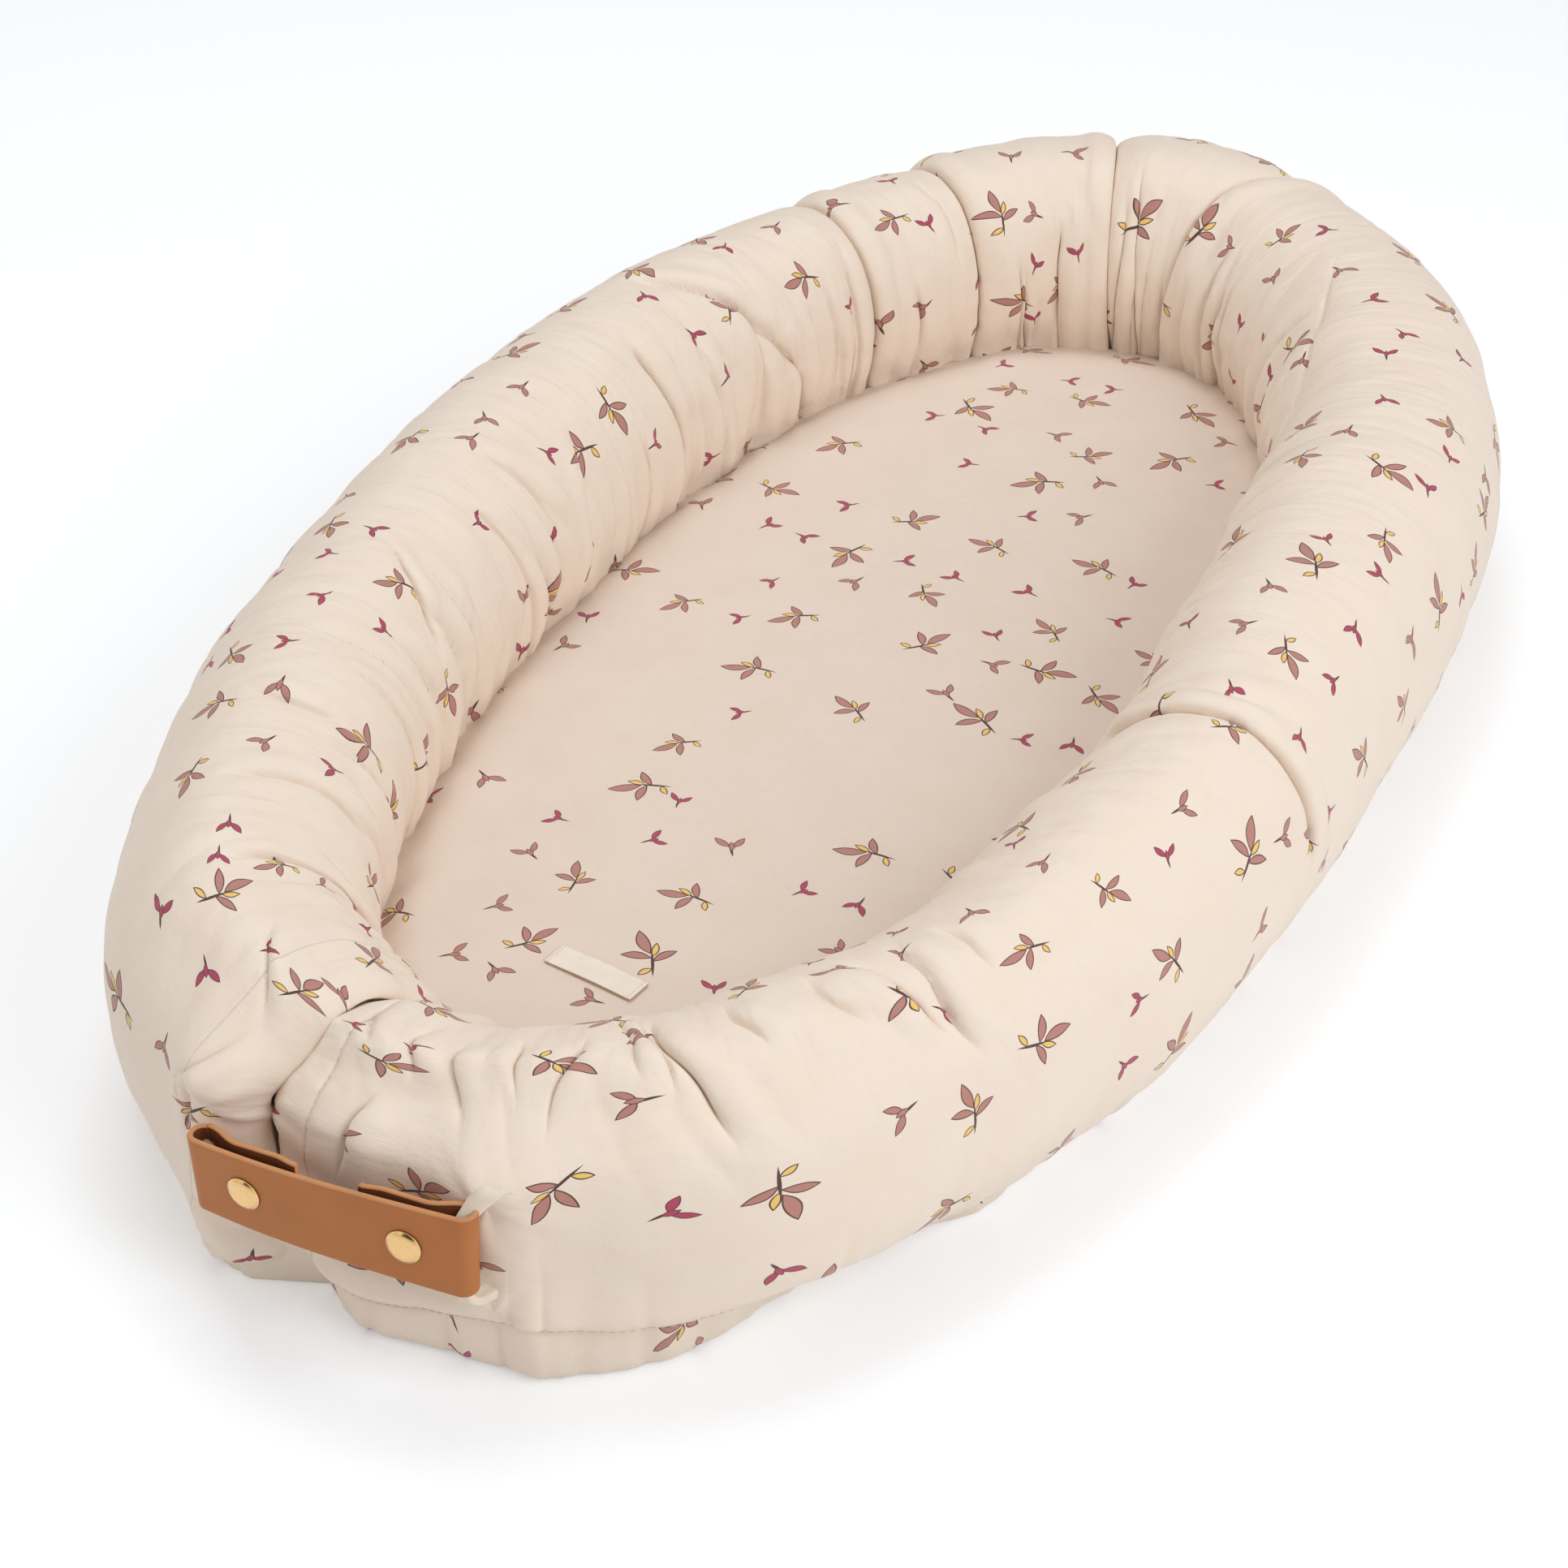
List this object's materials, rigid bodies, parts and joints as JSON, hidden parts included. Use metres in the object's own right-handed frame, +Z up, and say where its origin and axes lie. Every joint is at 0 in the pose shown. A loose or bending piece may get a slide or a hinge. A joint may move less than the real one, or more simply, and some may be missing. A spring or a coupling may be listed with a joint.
{
  "type": "infant lounger",
  "caption": "Oval padded lounger: a gathered fabric roll round a thin mattress, closed at the foot by a folded leather handle with brass press studs.",
  "frame": {"origin": "on the floor, under the middle of the whole lounger", "axes": "+Z up, +Y towards the head end, so that the leather handle is at -Y, +X to the right as seen from the handle"},
  "size_m": [0.4658, 0.8462, 0.1219],
  "materials": {
    "cotton_sateen": "soft sateen with a small print",
    "plain_cotton": "plain woven, matt",
    "fibre": "loose polyester fibre",
    "satin_tape": "woven satin, bare",
    "strap_leather": "smooth vegetable-tanned",
    "snap_brass": "polished"
  },
  "bodies": {
    "nest": {"bolster_cover": "cotton_sateen", "end_panel_left": "cotton_sateen", "end_panel_right": "cotton_sateen", "bolster_fill": "fibre", "base_panel": "cotton_sateen", "mattress_core": "fibre", "mattress_sheet": "cotton_sateen", "label": "satin_tape", "belt_loop_left": "plain_cotton", "belt_loop_right": "plain_cotton"},
    "handle": {"strap_front": "strap_leather", "snap_cap_left": "snap_brass", "snap_cap_right": "snap_brass", "snap_socket_left": "snap_brass", "snap_socket_right": "snap_brass"},
    "tail_left": {"strap_tail_left": "strap_leather", "snap_stud_left": "snap_brass", "snap_post_left": "snap_brass"},
    "tail_right": {"strap_tail_right": "strap_leather", "snap_stud_right": "snap_brass", "snap_post_right": "snap_brass"}
  },
  "joints": [
    {"name": "handle_pull", "type": "slide", "parent": "nest", "child": "handle", "axis": [0, -1, 0], "range_m": [0, 0.012], "deforming": ["belt_loop_left", "belt_loop_right"]},
    {"name": "snap_open_left", "type": "hinge", "parent": "handle", "child": "tail_left", "pos_m": [-0.04979, -0.41103, 0.064], "axis": [0, 0, 1], "range_deg": [0, 10]},
    {"name": "snap_open_right", "type": "hinge", "parent": "handle", "child": "tail_right", "pos_m": [0.05021, -0.41103, 0.064], "axis": [0, 0, -1], "range_deg": [0, 10]}
  ]
}
